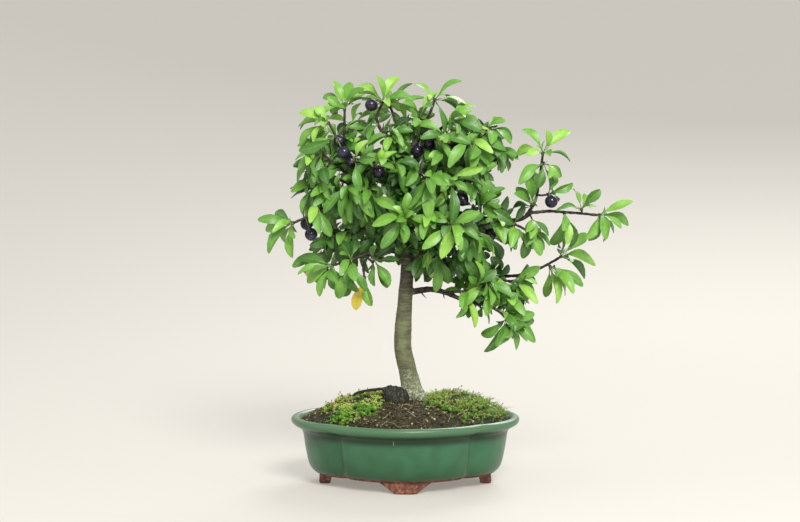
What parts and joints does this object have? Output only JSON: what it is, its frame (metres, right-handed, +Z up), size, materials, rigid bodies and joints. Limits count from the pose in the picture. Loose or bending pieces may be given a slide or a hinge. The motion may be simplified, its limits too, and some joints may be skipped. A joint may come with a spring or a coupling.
{
  "type": "blackthorn bonsai",
  "caption": "Blackthorn bonsai with leafy sprays and blue-black sloes, rooted in a mossy soil mound in a green glazed four-lobed pot on bracket feet.",
  "frame": {"origin": "on the surface the pot stands on, under the middle of the whole plant's box", "axes": "+Z up the trunk, -Y towards the tree's best side, +X towards the long branch"},
  "size_m": [0.4242, 0.2256, 0.465],
  "materials": {
    "glaze": "gloss",
    "soil": "matte",
    "moss": "matte",
    "bark": "matte",
    "foliage": "satin",
    "sloe": "satin",
    "screen": "matte"
  },
  "bodies": {
    "root": {"moss_left": "moss", "moss_right": "moss", "pot": "glaze", "screen_left": "screen", "screen_right": "screen", "sloe_1": "sloe", "sloe_10": "sloe", "sloe_11": "sloe", "sloe_12": "sloe", "sloe_13": "sloe", "sloe_14": "sloe", "sloe_2": "sloe", "sloe_3": "sloe", "sloe_4": "sloe", "sloe_5": "sloe", "sloe_6": "sloe", "sloe_7": "sloe", "sloe_8": "sloe", "sloe_9": "sloe", "soil": "soil", "spray_back_far_left": "foliage", "spray_back_far_right": "foliage", "spray_back_left": "foliage", "spray_back_left_low": "foliage", "spray_back_low_left": "foliage", "spray_back_low_right": "foliage", "spray_back_right": "foliage", "spray_back_right_low": "foliage", "spray_back_top": "foliage", "spray_crown_left": "foliage", "spray_crown_top": "foliage", "spray_front_high": "foliage", "spray_front_left": "foliage", "spray_front_left_low": "foliage", "spray_front_middle": "foliage", "spray_front_right": "foliage", "spray_leader": "foliage", "spray_left_fringe": "foliage", "spray_left_hanging": "foliage", "spray_left_low": "foliage", "spray_left_lowest": "foliage", "spray_left_middle": "foliage", "spray_left_shoulder": "foliage", "spray_left_tip": "foliage", "spray_low_right_front": "foliage", "spray_low_right_tip": "foliage", "spray_lowest_inner": "foliage", "spray_lowest_middle": "foliage", "spray_lowest_tip": "foliage", "spray_middle_low": "foliage", "spray_right_centre": "foliage", "spray_right_far": "foliage", "spray_right_hanging": "foliage", "spray_right_inner": "foliage", "spray_right_shoulder": "foliage", "spray_right_tip": "foliage", "spray_right_top": "foliage", "spray_sprig": "foliage", "spray_trunk_right": "foliage", "tree": "bark"}
  },
  "joints": []
}
